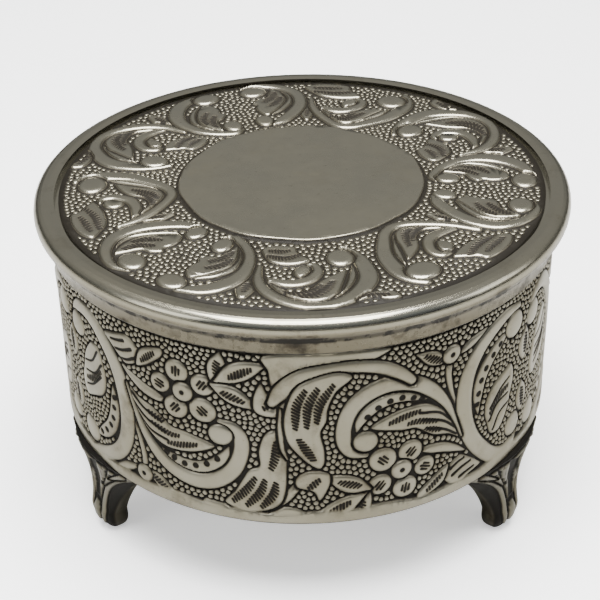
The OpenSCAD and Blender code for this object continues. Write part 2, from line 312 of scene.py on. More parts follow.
class Relief:  # one repeat of an ornament, as a height map
    def __init__(self, period, low, high, middle, cell=0.1):
        self.period, self.low, self.high, self.middle = period, low, high, middle
        self.nx = int(round(period / cell))
        self.ny = int(round((high - low) / cell)) + 1
        self.cell = period / self.nx
        self.cellY = (high - low) / (self.ny - 1)
        self.height = np.zeros((self.ny, self.nx))
        self.dark = np.ones((self.ny, self.nx))
        self.near = np.full((self.ny, self.nx), 9.0)
        self.turn = False                        # draws turned by half a turn about the middle
        self.flip = False                        # draws the other way round
        self.scale = 1.0                         # across the strip
        self.ink = 0.8                           # how dark the cuts are

    def put(self, points):
        p = np.array(points, float)
        p[:, 0] *= self.scale
        if self.turn or self.flip:
            p[:, 0] = self.period - p[:, 0]
        if self.turn:
            p[:, 1] = 2 * self.middle - p[:, 1]
        return p

    def patch(self, points, margin):  # the cells round some points
        x0, x1 = points[:, 0].min() - margin, points[:, 0].max() + margin
        y0, y1 = points[:, 1].min() - margin, points[:, 1].max() + margin
        i = np.arange(int(math.floor(x0 / self.cell)), int(math.ceil(x1 / self.cell)) + 1)
        j = np.arange(max(0, int((y0 - self.low) / self.cellY)),
                      min(self.ny - 1, int((y1 - self.low) / self.cellY) + 1) + 1)
        x, y = np.meshgrid(i * self.cell, self.low + j * self.cellY)
        return np.ix_(j, i % self.nx), x, y

    def emboss(self, where, d, top, edge, lip=0.34):
        t = np.clip(-d / edge, 0, 1)
        rise = top * np.sqrt(1 - (1 - t) ** 2)
        line = np.clip(1.4 - np.abs(d - 0.14) / 0.24, 0, 1)
        near = d < lip
        self.height[where] = np.where(near, np.where(d < 0, rise, -0.1 * line), self.height[where])
        self.dark[where] = np.where(near, line, self.dark[where])
        self.near[where] = np.minimum(self.near[where], d)

    def cut(self, where, d, depth=0.16, soft=0.1):
        mark = np.clip(0.5 - d / (2 * soft), 0, 1)
        self.height[where] -= depth * mark
        self.dark[where] = np.maximum(self.dark[where], np.clip(self.ink - d / (1.6 * soft), 0, 1))

    def band(self, *points, top=0.55, edge=None):
        p = self.put(points)
        where, x, y = self.patch(p, 3.2)
        self.emboss(where, stretchDistance(x, y, smoothPath(p)), top, edge or p[:, 2].max() / 2)

    def leaf(self, *points, top=0.5, edge=0.8):
        p = self.put(points)
        where, x, y = self.patch(p, 1.2)
        self.emboss(where, outlineDistance(x, y, smoothPath(p, closed=True)), top, edge)

    def knob(self, x, y, radius, top=0.6, edge=None):
        p = self.put([(x, y)])
        where, gx, gy = self.patch(p, radius + 0.8)
        self.emboss(where, np.hypot(gx - p[0, 0], gy - p[0, 1]) - radius, top, edge or radius * 0.75)

    def dot(self, x, y, radius=0.55, depth=0.2):
        p = self.put([(x, y)])
        where, gx, gy = self.patch(p, radius + 0.5)
        self.cut(where, np.hypot(gx - p[0, 0], gy - p[0, 1]) - radius, depth)

    def stroke(self, *points, width=0.34, depth=0.18):
        p = self.put(points)
        p = np.column_stack([p, np.linspace(0.6, 1, len(p)) * (width + 0.08)])
        where, x, y = self.patch(p, 0.8)
        self.cut(where, stretchDistance(x, y, smoothPath(p)), depth)

    def ticks(self, *points, size=1.0, pitch=0.62, lean=0.45):  # short slanting cuts along a line
        path = smoothPath(self.put(points), steps=14)
        along = np.concatenate([[0], np.cumsum(np.hypot(*np.diff(path, axis=0).T))])
        for s in np.arange(pitch / 2, along[-1], pitch):
            x, y = (np.interp(s, along, path[:, n]) for n in (0, 1))
            tx, ty = (np.interp(s + 0.1, along, path[:, n]) - np.interp(s - 0.1, along, path[:, n])
                      for n in (0, 1))
            swell = math.sin(math.pi * (0.14 + 0.72 * s / along[-1]))
            reach = (size + 0.25) * swell / 2 / math.hypot(tx, ty)
            ax, ay = (lean * tx - ty) * reach, (lean * ty + tx) * reach
            q = np.array([[x - ax, y - ay, 0.38], [x + ax, y + ay, 0.28]])
            where, gx, gy = self.patch(q, 0.5)
            self.cut(where, stretchDistance(gx, gy, q), 0.16, 0.1)

    def sample(self, field, x, y):  # the field at places, which repeat along x
        fx = (x / self.cell) % self.nx
        fy = np.clip((y - self.low) / self.cellY, 0, self.ny - 1.001)
        i, j = fx.astype(int) % self.nx, fy.astype(int)
        a, b = fx - np.floor(fx), fy - j
        k = (i + 1) % self.nx
        return ((field[j, i] * (1 - a) + field[j, k] * a) * (1 - b)
                + (field[j + 1, i] * (1 - a) + field[j + 1, k] * a) * b)


def drawDrumHalf(r):  # one half repeat: x from its left end, y up the wall
    # bud on the joint of two repeats
    r.band((0, 19.3, 0.8), (-0.1, 22.4, 3.9), (0.1, 25.6, 0.8), edge=0.9)
    r.ticks((0, 20.4), (0, 24.6))
    # leaf inside the large scroll
    r.leaf((3.9, 19), (4.9, 22.5), (7.4, 25.7), (9.8, 25.4), (10.8, 22.8), (11.5, 20.3),
           (11.3, 17.6), (9.9, 15.3), (6.9, 13.8), (4.7, 13), (3.5, 14.5), (3.3, 17))
    r.stroke((5.0, 20.9), (7.6, 21.9), (9.4, 24.6), width=0.4)
    r.stroke((5.2, 18.8), (8.4, 19.6), (10.4, 22.2), width=0.4)
    r.stroke((5.0, 15.6), (7.6, 16.8), (10.3, 19.6), width=0.4)
    r.ticks((5.0, 17.2), (7.8, 18.2), (10.3, 20.7), size=0.9)
    # two-lobed leaf at the top
    r.leaf((12.1, 30.3), (14.9, 31.2), (17.9, 32.0), (19.9, 31.0), (20.7, 29.0), (19.6, 27.0),
           (17.4, 26.0), (15.7, 27.0), (13.6, 28.8))
    r.stroke((14.2, 29.9), (15.8, 30.2), (17.4, 30.7), width=0.5)
    r.stroke((15.0, 28.3), (17.0, 28.7), (19.0, 29.6), width=0.55)
    r.stroke((16.5, 26.9), (18.0, 27.2), (19.4, 28.0), width=0.5)
    r.leaf((19.8, 26.9), (20.5, 29.8), (22.4, 31.3), (25.7, 32.0), (25.5, 30.4), (23.4, 28.6),
           (21.4, 27.2))
    r.ticks((21.0, 28.2), (22.6, 29.6), (24.4, 31.0), size=0.7)
    # slender leaf
    r.band((16.4, 25.4, 0.5), (18.6, 24.0, 1.5), (21.2, 22.7, 2.1), (24.0, 21.9, 1.9),
           (26.2, 21.5, 0.5))
    # fan leaf over the second scroll
    r.leaf((17.2, 22.4), (20.2, 20.3), (23.4, 19.2), (26.0, 17.2), (27.2, 16.5), (30.0, 16.2),
           (34.8, 14.7), (32.4, 12.9), (28.9, 11.9), (24.9, 12), (21.9, 14), (19.7, 17), (17.7, 21))
    r.stroke((18.6, 20.8), (21.4, 18.6), (24.6, 17.3), width=0.45)
    r.stroke((18.9, 19.3), (21.8, 16.6), (25.6, 15.1), width=0.45)
    r.stroke((19.9, 17.3), (22.4, 14.6), (26.0, 13.5), width=0.4)
    r.ticks((22.0, 18.5), (25.4, 17.0), size=0.7)
    r.ticks((22.6, 16.4), (26.4, 15.1), (28.6, 15.2), size=0.7)
    r.ticks((25.8, 13.1), (28.4, 13.4), (32.0, 14.3), size=0.75)
    # stem and small flower at the foot
    r.band((18.4, 15.5, 0.3), (19.6, 11.2, 1.0), (20.2, 7.6, 1.3), (20.1, 5.4, 1.4))
    r.band((12.2, 2.0, 0.4), (15.6, 3.3, 1.9), (18.4, 4.6, 0.5))
    r.band((21.2, 5.0, 0.6), (23.6, 3.5, 2.7), (26.8, 1.9, 0.5), edge=0.9)
    r.ticks((21.9, 4.6), (25.4, 2.5), size=0.9)
    r.knob(19.9, 3.9, 1.85, edge=0.8)
    r.dot(19.9, 3.9, 0.42)
    # large scroll with its beaded inner edge
    r.band((13.4, 19.2, 0.4), (13.6, 15.6, 2.2), (12.9, 12.2, 2.7), (11.3, 9.4, 2.8), (9.0, 7.3, 2.5),
           (6.9, 5.9, 1.0), edge=0.7, top=0.45)
    for x, y in ((13.8, 17.0), (13.6, 14.8), (13.0, 12.3), (11.9, 10.3), (10.2, 8.4), (8.4, 7.1)):
        r.dot(x, y)
    r.band((1.4, 29.2, 1.0), (3.2, 31.0, 2.4), (6.2, 31.5, 3.0), (9.3, 30.3, 3.2), (12.2, 27.4, 3.4),
           (14.6, 23.8, 3.5), (16.2, 19.8, 3.6), (16.8, 15.6, 3.6), (16.4, 11.6, 3.5), (15.2, 8.2, 3.4),
           (13.0, 5.2, 3.3), (10.0, 3.1, 3.0), (6.6, 1.9, 2.4), (3.2, 1.9, 1.6), edge=1.3)
    r.knob(2.9, 27.2, 2.5)
    r.knob(4.1, 5.3, 2.7)
    # second scroll
    r.band((24.1, 11.2, 0.4), (26.9, 9.9, 1.9), (30.4, 9.2, 2.5), (33.9, 10.1, 2.6), (36.3, 12.3, 2.2),
           (37.3, 14.8, 0.5), edge=0.7, top=0.45)
    for x, y in ((25.5, 10.7), (27.1, 10.1), (29.2, 9.5), (31.4, 9.7), (33.5, 10.6), (35.4, 12.1)):
        r.dot(x, y)
    r.band((17.2, 22.0, 0.5), (19.0, 17.5, 1.0), (20.8, 13.3, 1.9), (23.3, 9.9, 2.7), (26.6, 7.5, 3.0),
           (30.9, 6.4, 3.3), (34.9, 7.3, 3.3), (37.9, 9.8, 3.1), (39.3, 13, 2.9), (39.5, 16.5, 2.7),
           (38.3, 19.0, 2.3), (36.0, 19.9, 1.4), edge=1.2)
    r.knob(35.8, 17.2, 2.2)
    # flower of five petals, each with three strokes
    petals = ((28.4, 28.5, 2.3, 85), (33.2, 26.8, 2.2, 55), (32.9, 21.6, 2.5, -45),
              (27.9, 21.0, 2.3, 50), (24.9, 25.1, 2.0, -20))
    for x, y, size, angle in petals:
        r.knob(x, y, size, edge=0.8, top=0.5)
        c, s = math.cos(math.radians(angle)), math.sin(math.radians(angle))
        for shift, reach in ((-0.62, 0.55), (0, 0.95), (0.62, 0.6)):
            mx, my = x - s * shift, y + c * shift
            r.stroke((mx - c * reach, my - s * reach), (mx + c * reach, my + s * reach), width=0.32)
    r.knob(29.4, 24.5, 2.0, edge=0.8)
    r.dot(29.4, 24.5, 0.42)
    # sprig of leaves
    r.band((35.3, 27.2, 0.7), (36.0, 30.8, 3.4), (36.7, 34.0, 0.4), edge=0.9)
    r.ticks((35.9, 29.4), (36.4, 32.6))
    r.band((35.5, 27.9, 0.7), (39.8, 30.6, 3.9), (44.8, 32.6, 0.5), edge=0.9)
    r.ticks((38.0, 29.4), (42.2, 31.6))
    r.band((34.9, 27.3, 0.7), (38.6, 25.7, 3.6), (42.6, 23.5, 0.5), edge=0.9)
    r.ticks((36.6, 26.4), (40.4, 24.8))
    r.leaf((42.1, 22.9), (41.9, 25.6), (43.5, 28.8), (44.6, 26.8), (47.4, 25.7), (47.2, 23.4), (45, 22.2))
    r.ticks((43.4, 23.9), (45.6, 26.1), size=0.8)
    if r.turn:
        drawTurnedLeaf(r)
    else:
        drawJointLeaf(r)


def drawJointLeaf(r):  # large leaf at the joint, on the half that stands upright
    r.leaf((50.6, -1.0), (50.3, 2.2), (48.6, 3.4), (46.2, 3.4), (43.5, 1.6), (41.0, 0.6), (38.0, -1.0))
    r.band((49.7, 9.1, 1.4), (46.9, 5.3, 1.9), (42.4, 2.6, 2.0), (37.4, 1.8, 2.0), (33.0, 2.3, 1.6))
    r.leaf((42.8, 12.0), (42.5, 15.0), (43.3, 18.4), (45.0, 19.7), (46.7, 18.6), (47.3, 14.5),
           (47.4, 9.5), (47.0, 6.0), (45.8, 3.6), (43.0, 2.2), (39.5, 1.9), (36.4, 3.2), (38.4, 5.8),
           (39.9, 8.6), (41.1, 10.9))
    r.ticks((45.5, 17.5), (45.4, 14.2), (44.7, 11.2))
    r.ticks((42.3, 9.6), (40.7, 6.8), (37.8, 3.6))
    r.ticks((43.9, 9.4), (42.9, 6.4), (40.2, 3.1))
    r.ticks((45.7, 9.0), (45.1, 6.2), (42.8, 3.1))


def drawTurnedLeaf(r):  # and on the half that is turned: slimmer, and nearer the stem
    r.leaf((51.2, -1.0), (51.4, 2.4), (51.0, 5.8), (50.0, 5.6), (47.4, 3.4), (43.5, 1.8), (38.0, 1.2),
           (34.0, 0.9), (32.5, -1.0))
    r.band((51.4, 8.6, 1.6), (49.4, 6.0, 3.0), (46.2, 3.4, 3.0), (42.4, 2.2, 2.4), (37.4, 1.9, 2.4),
           (33.0, 2.8, 2.6), (29.8, 4.6, 2.4), (27.4, 6.6, 1.8))
    r.band((50.1, 9.6, 0.5), (50.3, 13.4, 1.0), (49.9, 17.4, 0.9), (48.9, 19.8, 0.4), top=0.4)
    r.leaf((46.8, 4.9), (48.7, 8.1), (49.7, 12.1), (49.1, 16.1), (47.1, 18.9), (45.2, 20.9), (43.6, 21.9),
           (42.7, 20.6), (42.8, 17.6), (43.4, 14.4), (42.4, 12.1), (42.1, 9.6), (40.6, 6.4), (37.8, 3.9),
           (40.0, 2.6), (43.4, 3.2))
    r.ticks((47.8, 13.6), (47.4, 9.0), (45.6, 5.6))
    r.ticks((45.9, 13.3), (45.5, 9.0), (43.4, 5.0))
    r.ticks((44.2, 12.4), (43.6, 8.8), (41.0, 4.8))
    r.ticks((47.2, 15.2), (45.9, 17.4), (44.3, 20.3))


def drawLidHalf(r):  # one half repeat: degrees from its start, and radius
    # leaf over the cup scroll
    r.leaf((35.6, 39.2), (32.1, 37.0), (26.6, 36.3), (21.6, 36.8), (19.0, 37.8), (21.6, 39.4), (23.6, 40.6),
           (24.6, 42.2), (29.6, 42.7), (34.6, 42.3), (37.2, 41.0), edge=0.6)
    r.ticks((34.6, 38.8), (28.6, 38.2), (24.6, 38.8), (22.1, 39.6), size=0.9)
    r.ticks((34.6, 40.4), (29.6, 40.4), (26.6, 40.8), size=0.8)
    # teardrop
    r.band((35.8, 32.8, 0.4), (36.0, 29.0, 3.0), (35.9, 26.0, 1.6), edge=0.7)
    r.ticks((35.9, 30.0), (35.9, 27.2), size=0.7)
    # curl
    r.knob(21.1, 34.1, 2.0, edge=0.8)
    r.band((32.6, 32.4, 0.6), (29.6, 31.2, 1.8), (24.6, 30.6, 2.3), (20.2, 31.4, 2.3), (17.2, 33.8, 2.1),
           (17.8, 36.0, 1.6), (20.0, 36.5, 0.8), edge=0.7)
    # leaf in the cup
    r.leaf((30.6, 30.4), (28.6, 28.0), (25.1, 26.0), (20.6, 25.1), (16.6, 25.3), (13.6, 26.6), (11.6, 29.4),
           (9.4, 32.6), (8.8, 33.8), (11.6, 33.2), (15.1, 32.0), (17.6, 30.6), (19.6, 29.0), (22.6, 28.2),
           (25.6, 28.4), (28.6, 29.8), edge=0.6)
    r.ticks((22.6, 26.3), (18.6, 26.7), (15.6, 28.5), (13.4, 30.9), size=0.9)
    r.ticks((26.6, 27.6), (22.6, 27.3), (18.6, 28.3), (16.8, 29.6), size=0.8)
    r.band((14.6, 25.6, 0.4), (11.6, 27.2, 1.0), (9.1, 30.0, 1.3), (7.4, 32.8, 1.2), (6.4, 35.2, 0.4),
           edge=0.5)
    r.band((35.1, 35.6, 1.2), (33.9, 31.6, 1.8), (31.1, 28.3, 2.1), (26.6, 25.6, 2.1), (21.6, 24.0, 2.1),
           (16.6, 23.8, 2.2), (11.6, 25.0, 2.6), (7.1, 27.8, 2.9), (4.4, 30.6, 3.1), (3.5, 33.6, 3.1),
           (3.6, 36.6, 3.0), (4.8, 39.2, 2.4), (6.8, 41.2, 1.6), edge=0.8, top=0.6)
    r.knob(9.1, 37.9, 2.7, top=0.62, edge=1.1)
    # facing scroll
    r.leaf((46.6, 41), (48.1, 38.5), (49.4, 36.6), (52.1, 36), (54.5, 34.5), (53.4, 33.4), (54.1, 32),
           (53.6, 30), (51.6, 28.6), (48.6, 29.1), (45.5, 31.4), (43.4, 34.5), (43.6, 37.5),
           (45.2, 39.9), edge=0.6)
    r.ticks((46.4, 38.9), (47.1, 36.5), (50.6, 34), size=0.9)
    r.ticks((44.7, 36.6), (46.3, 33.8), (49.4, 32.2), size=0.9)
    r.band((49.4, 28.6, 0.4), (45.7, 30.5, 1.1), (42.9, 33.0, 1.2), (41.7, 35.5, 1.1), (42.5, 38.0, 1.0),
           (44.9, 40.3, 0.4), edge=0.5)
    r.band((50.6, 24.7, 2.0), (45.6, 26.0, 2.9), (41.6, 28.6, 3.1), (39.2, 31.6, 2.9), (38.6, 34.6, 2.6),
           (39.6, 37.9, 2.4), (42.6, 40.5, 2.2), (46.8, 42.2, 2.0), (50.6, 42.8, 1.8), (54.2, 42.0, 1.4),
           edge=0.8, top=0.6)
    r.knob(52.2, 39.9, 2.3, top=0.62, edge=1.0)
    r.knob(53.8, 26.2, 2.3, top=0.62, edge=1.0)
    if r.turn:                                   # small leaf at the plate's edge
        r.leaf((9.6, 24.3), (6.1, 24.5), (3.1, 23.3), (0.6, 23.3), (1.0, 25.3), (3.6, 26.2), (6.4, 26.1),
               (8.2, 25.3), edge=0.6)
        r.ticks((7.6, 25.2), (2.4, 24.4), size=0.7)


def soften(field, reach):  # a moving average both ways
    for axis in (0, 1):
        field = sum(np.roll(field, n, axis) for n in range(-reach, reach + 1)) / (2 * reach + 1)
    return field


def drawRepeat(relief, drawHalf):
    for turn in (False, True):
        relief.turn = turn
        drawHalf(relief)
    # grime spreads a little way out of the lines
    relief.dark = np.maximum(relief.dark, 0.5 * soften(relief.dark, 5))
    return relief



pebbleGround = {
    "cell": 0.1,
    "clear": 0.16,                   # bare ground beside a shape
    "sides": 8,
    "rise": 0.06,                    # a pebble's middle above the ground
}


def pebbleSpots(near, cell, gap, spacing, wrap):  # rows that hug the shapes, then fill what is left
    rows, cols = near.shape
    order = near + rng.normal(0, 0.04, near.shape)
    order[near < gap] = 99
    queue = np.argsort(order, axis=None)[:np.count_nonzero(near >= gap)]
    reach = int(math.ceil(spacing * 1.1 / cell))
    oy, ox = np.mgrid[-reach:reach + 1, -reach:reach + 1]
    far = np.hypot(ox, oy) * cell
    taken = np.zeros(rows * cols, bool)
    spots = []
    for n in queue:
        if taken[n]:
            continue
        j, i = divmod(int(n), cols)
        close = far < spacing * (0.92 + 0.16 * rng.random())
        jj, ii = oy[close] + j, ox[close] + i
        fine = (jj >= 0) & (jj < rows)
        if wrap:
            ii = ii % cols
        else:
            fine &= (ii >= 0) & (ii < cols)
        taken[jj[fine] * cols + ii[fine]] = True
        spots.append((i, j))
    return np.array(spots, float)


def shareGround(near, spots, cell, gap, wrap):  # each bit of ground goes to its nearest pebble
    rows, cols = near.shape
    reach = int(math.ceil(0.95 / cell))
    owner = np.full(near.shape, -1)
    best = np.full(near.shape, 0.95)
    for n, (x, y) in enumerate(spots):
        i, j = int(round(x)), int(round(y))
        jj = np.arange(max(0, j - reach), min(rows, j + reach + 1))
        ii = np.arange(i - reach, i + reach + 1)
        ii = ii if wrap else ii[(ii >= 0) & (ii < cols)]
        far = np.hypot((ii - x)[None], (jj - y)[:, None]) * cell
        where = np.ix_(jj, ii % cols)
        closer = far < best[where]
        best[where] = np.where(closer, far, best[where])
        owner[where] = np.where(closer, n, owner[where])
    owner[near < gap] = -1
    return owner


def settlePebbles(near, spots, cell, gap, wrap, rounds=3):  # moves each to the middle of its ground
    cols = near.shape[1]
    for _ in range(rounds):
        owner = shareGround(near, spots, cell, gap, wrap)
        j, i = np.nonzero(owner >= 0)
        n = owner[j, i]
        dx = (i - spots[n, 0] + cols / 2) % cols - cols / 2 if wrap else i - spots[n, 0]
        count = np.bincount(n, minlength=len(spots))
        if (count == 0).any():
            spots = spots[count > 0]
            continue
        dy = j - spots[n, 1]
        spots = spots + np.column_stack([np.bincount(n, dx) / count, np.bincount(n, dy) / count])
    return spots, shareGround(near, spots, cell, gap, wrap)


def pebbleReach(owner, spots, cell, wrap, sides, most=0.66):  # how far each may spread, on every side
    rows, cols = owner.shape
    turn = rng.random(len(spots)) * 2 * math.pi
    angle = turn[:, None] + 2 * math.pi * np.arange(sides) / sides
    reach = np.full(angle.shape, most)
    own = np.arange(len(spots))[:, None]
    for far in np.arange(most, 0.1, -cell / 3):
        i = np.rint(spots[:, :1] + np.cos(angle) * far / cell).astype(int)
        j = np.rint(spots[:, 1:] + np.sin(angle) * far / cell).astype(int)
        out = (j < 0) | (j >= rows)
        i = i % cols if wrap else np.clip(i, 0, cols - 1)
        out |= owner[np.clip(j, 0, rows - 1), i] != own
        reach[out] = far
    return angle, reach


def pebbleMesh(name, centres, outs, acrosses, angle, reach, lift=1.0, darkening=0.55):
    # each pebble is a low dome: a sunk ring, a shoulder, an upper ring and a middle
    ups = np.cross(outs, acrosses)
    count, sides = angle.shape
    tall = lift * (0.85 + 0.3 * rng.random(count)) * np.clip(reach.mean(1) / 0.42, 0.6, 1.15)
    rings = ((1.0, -0.2, 1.0), (0.90, 0.13, darkening), (0.56, 0.27, 0.04))
    parts, dark = [], []
    for size, rise, patinaAndShade in rings:
        even = size ** 2
        spread = (reach * even + reach.mean(1, keepdims=True) * (1 - even)) * size
        parts.append(centres[:, None] + acrosses[:, None] * (np.cos(angle) * spread)[..., None]
                     + ups[:, None] * (np.sin(angle) * spread)[..., None]
                     + outs[:, None] * (rise * (tall if rise > 0 else tall * 0 + 1))[:, None, None])
        dark.append(np.full((count, sides), patinaAndShade))
    parts.append((centres + outs * (0.32 * tall)[:, None])[:, None])
    dark.append(np.zeros((count, 1)))
    each = sides * 3 + 1
    points = np.concatenate(parts, axis=1).reshape(-1, 3) * mm
    faces = []
    for ring in (0, 1):
        for n in range(sides):
            a, b = ring * sides + n, ring * sides + (n + 1) % sides
            faces.append((a, b, b + sides, a + sides))
    quads = np.array(faces)[None] + each * np.arange(count)[:, None, None]
    caps = np.array([(2 * sides + n, 2 * sides + (n + 1) % sides, each - 1) for n in range(sides)])
    caps = caps[None] + each * np.arange(count)[:, None, None]
    soles = np.arange(sides)[::-1][None] + each * np.arange(count)[:, None]
    loops = np.concatenate([quads.ravel(), caps.ravel(), soles.ravel()])
    totals = np.repeat([4, 3, sides], [count * len(faces), count * sides, count])
    mesh = bpy.data.meshes.new(name)
    mesh.vertices.add(len(points))
    mesh.vertices.foreach_set("co", points.ravel())
    mesh.loops.add(len(loops))
    mesh.loops.foreach_set("vertex_index", loops)
    mesh.polygons.add(len(totals))
    mesh.polygons.foreach_set("loop_start", np.cumsum(totals) - totals)
    mesh.polygons.foreach_set("loop_total", totals)
    mesh.polygons.foreach_set("use_smooth", np.ones(len(totals), bool))
    mesh.update()
    mesh.validate()
    piece = bpy.data.objects.new(name, mesh)
    bpy.context.scene.collection.objects.link(piece)
    storeField(piece, "patinaAndShade", np.concatenate(dark, axis=1).ravel())
    return piece


def storeField(piece, name, values):
    field = piece.data.attributes.new(name, "FLOAT", "POINT")
    field.data.foreach_set("value", np.clip(values, 0, 1).astype(np.float32))


def readPoints(piece):
    points = np.empty(len(piece.data.vertices) * 3)
    piece.data.vertices.foreach_get("co", points)
    return points.reshape(-1, 3)


def writePoints(piece, points):
    piece.data.vertices.foreach_set("co", np.asarray(points, float).ravel())
    piece.data.update()


def choose(piece):
    bpy.ops.object.select_all(action="DESELECT")
    piece.select_set(True)
    bpy.context.view_layer.objects.active = piece


def applyModifier(piece, kind, **values):
    choose(piece)
    modifier = piece.modifiers.new(kind.lower(), kind)
    for key, value in values.items():
        setattr(modifier, key, value)
    bpy.ops.object.modifier_apply(modifier=modifier.name)


def addGrid(name, cols, rows):  # a flat grid, and each point's column and row
    bpy.ops.mesh.primitive_grid_add(x_subdivisions=cols, y_subdivisions=rows, size=1)
    piece = bpy.context.object
    piece.name = piece.data.name = name
    p = readPoints(piece)
    return piece, np.rint((p[:, 0] + 0.5) * cols).astype(int), np.rint((p[:, 1] + 0.5) * rows).astype(int)


def mergePoints(piece):  # and stays in edit mode
    choose(piece)
    bpy.ops.object.mode_set(mode="EDIT")
    bpy.ops.mesh.select_all(action="SELECT")
    bpy.ops.mesh.remove_doubles(threshold=mergeReach)


def selectOpenEdges():
    bpy.ops.mesh.select_all(action="DESELECT")
    bpy.ops.mesh.select_non_manifold(extend=False)


def turnFacesOut():  # and leaves edit mode
    bpy.ops.mesh.select_all(action="SELECT")
    bpy.ops.mesh.normals_make_consistent(inside=False)
    bpy.ops.object.mode_set(mode="OBJECT")


def writeRound(piece, angle, radius, height):  # the angle is taken from the front
    writePoints(piece, np.column_stack([radius * np.sin(angle), -radius * np.cos(angle), height]) * mm)


wallValues = {
    "repeats": 3,
    "start": -50.87,                 # where a repeat starts, along the wall from the front
    "ground": 0.62,                  # depth of the ground below the widest radius
    "bandTop": 2.6,                  # height of the plain band at the foot
    "fieldTop": 34.7,
    "cell": 0.16,
    "triangles": 194000,
    "pebble": 0.93,
    "pebbleGap": 0.07,
    "pebbleClear": 0.5,              # from a pebble's middle to a shape
    "waver": 0.2,                    # how far the hand strays from the drawing
    "drawnR": 46,                    # the ornament is drawn for this radius and height
    "drawnTall": 35,
    "middle": 16.8,                  # the second half of a repeat is turned about this height
    "innerGap": 0.05,                # between the wall and the sleeve behind it
    "innerDark": 0.3,
}


def wallPlace(v, u, z):  # a place on the wall, in the ornament's own strip
    turn = u / drumR
    x = u + v["waver"] * (np.sin(3 * turn + z * 0.21 + 1.0) + 0.6 * np.sin(7 * turn - z * 0.33))
    sway = v["waver"] * (0.7 * np.sin(5 * turn + 0.4) + 0.5 * np.sin(11 * turn + 2.0))
    return x - v["start"], z + sway * np.sin(math.pi * z / v["drawnTall"])


def wallHeight(v, relief, u, z):
    x, y = wallPlace(v, u, z)
    x = x * relief.period * v["repeats"] / (2 * math.pi * drumR)
    rise = relief.sample(relief.height, x, y)
    dark = relief.sample(relief.dark, x, y)
    wave = 0.35 * np.sin(9 * u / drumR) + 0.25 * np.sin(23 * u / drumR + 1)
    low = np.clip((v["bandTop"] + wave - z) / 0.5, 0, 1)        # the plain band swallows the ornament
    high = np.clip((z - v["fieldTop"]) / 0.3, 0, 1)
    plain = np.maximum(low, high)
    bandRise = v["ground"] - 0.02 - 0.12 * np.clip(1 - z / 0.5, 0, 1) ** 2
    rise = np.maximum(rise * (1 - high), bandRise * plain)
    edge = np.clip(1 - z / 0.35, 0, 1) * 0.7                    # darker along the lower edge
    return rise, np.maximum(dark * (1 - plain * 0.92), edge)


def makeWall(v):
    relief = Relief(2 * math.pi * v["drawnR"] / v["repeats"], 0, v["drawnTall"], v["middle"])
    drawRepeat(relief, drawDrumHalf)
    print("drum ornament drawn")
    around = 2 * math.pi * drumR
    cols, rows = int(around / v["cell"]), int((seamZ - drumFoot) / v["cell"])
    piece, i, j = addGrid("drumWall", cols, rows + 2)
    u = around * (i / cols - 0.5)
    tall = seamZ - drumFoot
    z = np.clip((j - 1) / rows, 0, 1) * tall
    radius = drumR - v["ground"] + wallHeight(v, relief, u, z)[0]
    inner = sleeveR + v["innerGap"]
    radius[(j == 0) | (j == rows + 2)] = inner
    z[j == 0] = 0
    z[j == rows + 2] = tall
    angle = u / drumR
    writeRound(piece, angle, radius, z + drumFoot)
    mergePoints(piece)
    selectOpenEdges()
    bpy.ops.mesh.bridge_edge_loops()  # the inner face closes the shell
    turnFacesOut()
    bpy.ops.object.shade_smooth()
    triangles = 2 * cols * (rows + 3)
    applyModifier(piece, "DECIMATE", ratio=v["triangles"] / triangles)
    p = readPoints(piece) / mm
    u = np.arctan2(p[:, 0], -p[:, 1]) * drumR
    dark = wallHeight(v, relief, u, p[:, 2] - drumFoot)[1]
    dark[np.hypot(p[:, 0], p[:, 1]) < inner + 0.2] = v["innerDark"]
    storeField(piece, "patinaAndShade", dark)
    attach(piece, "base")
    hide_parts("body_wall")
    coat(piece, chasedSilver)
    print("drum wall made,", len(piece.data.polygons), "faces")
    return relief


def makeWallPebbles(v, relief):
    cell = pebbleGround["cell"]
    around = 2 * math.pi * drumR
    cols = int(around / cell)
    low, high = v["bandTop"], v["fieldTop"]
    rows = int((high - low) / cell)
    u, z = np.meshgrid((np.arange(cols) / cols - 0.5) * around, low + np.arange(rows) * cell)
    x, y = wallPlace(v, u, z)
    near = relief.sample(relief.near, x * relief.period * v["repeats"] / around, y)
    near = np.minimum(near, np.minimum(z - v["bandTop"] - 0.1, v["fieldTop"] - z - 0.1))
    spots = pebbleSpots(near, cell, v["pebbleClear"], v["pebble"], True)
    spots, owner = settlePebbles(near, spots, cell, pebbleGround["clear"], True)
    angle, reach = pebbleReach(owner, spots, cell, True, pebbleGround["sides"])
    u = (spots[:, 0] / cols - 0.5) * around
    z = low + spots[:, 1] * cell + drumFoot
    turn = u / drumR
    outs = np.column_stack([np.sin(turn), -np.cos(turn), 0 * u])
    acrosses = np.column_stack([np.cos(turn), np.sin(turn), 0 * u])
    centres = outs * (drumR - v["ground"] + pebbleGround["rise"])
    centres[:, 2] = z
    piece = pebbleMesh("drumPebbles", centres, outs, acrosses, angle, reach - v["pebbleGap"])
    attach(piece, "base")
    coat(piece, chasedSilver)
    print("drum pebbles made,", len(spots))


plateValues = {
    "repeats": 3,
    "start": 21.6,                   # degrees from the front to the start of a repeat
    "medallion": 22.3,
    "ground": 0.65,                  # depth of the ground below the top
    "cell": 0.16,
    "triangles": 180000,
    "pebble": 1.0,
    "pebbleGap": 0.05,
    "pebbleRise": 0.3,
    "pebbleGrime": 0.5,
    "pebbleClear": 0.48,
    "waver": 0.2,
    "drawnR": 33.3,                  # the ornament is drawn for this radius
    "drawnOut": 44.3,
    "ink": 0.95,
    "gridR": 40,                     # the radius where a cell is as wide as it is long
    "lap": 1.2,                      # the relief starts this far inside the medallion's edge
    "inset": 0.8,                    # of the flat faces that close the plate
}


